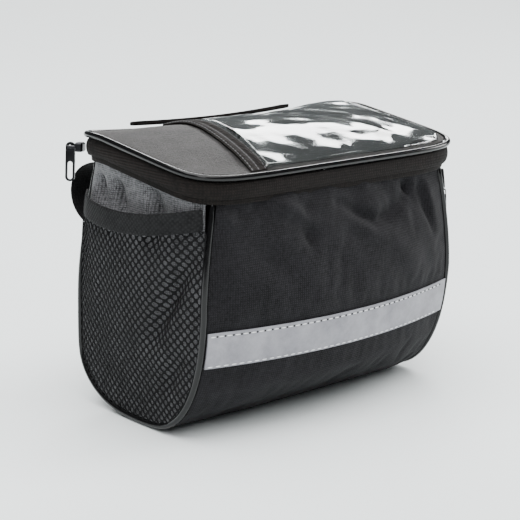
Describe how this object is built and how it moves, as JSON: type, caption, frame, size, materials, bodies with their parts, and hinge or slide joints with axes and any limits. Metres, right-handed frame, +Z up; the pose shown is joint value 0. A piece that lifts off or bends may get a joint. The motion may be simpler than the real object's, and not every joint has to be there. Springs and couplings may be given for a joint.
{
  "type": "bicycle handlebar bag",
  "caption": "Soft box bag that straps to a bicycle handlebar, with a domed zip lid, a clear map window on top, mesh end pockets and a reflective strip across the front",
  "frame": {"origin": "on the floor under the middle of the bag's length and of the depth of its lower body", "axes": "+Z up, -Y the front with the reflective strip, +Y the handlebar side with the straps, -X and +X the ends with the mesh pockets"},
  "size_m": [0.2306, 0.1638, 0.1702],
  "materials": {
    "black_polyester": "matt fine weave",
    "grey_nylon": "matt with a slight sheen",
    "black_vinyl_piping": "glossy",
    "black_net": "matt",
    "black_webbing": "matt ribbed",
    "reflective_tape": "satin",
    "clear_vinyl": "clear glossy",
    "blackened_zinc": "semi-gloss"
  },
  "bodies": {
    "bag": {"bag_wrap": "black_polyester", "end_panel_left": "grey_nylon", "end_panel_right": "grey_nylon", "seam_piping_left": "black_vinyl_piping", "seam_piping_right": "black_vinyl_piping", "mesh_pocket_left": "black_net", "mesh_pocket_right": "black_net", "pocket_hem_left": "black_webbing", "pocket_hem_right": "black_webbing", "strap_left": "black_webbing", "strap_right": "black_webbing", "reflective_strip": "reflective_tape", "lid_top": "black_polyester", "lid_band": "black_webbing", "lid_piping": "black_vinyl_piping", "zip_tape": "black_webbing", "map_window": "clear_vinyl", "window_binding": "black_webbing", "lid_hinge_strip": "black_webbing", "zip_slider": "blackened_zinc"},
    "pull": {"zip_pull": "blackened_zinc"}
  },
  "joints": [
    {"name": "pull_swing", "type": "hinge", "parent": "bag", "child": "pull", "pos_m": [-0.10544, 0.05758, 0.15436], "axis": [0.7568, 0.6435, -0.1146], "range_deg": [0, 110]}
  ]
}
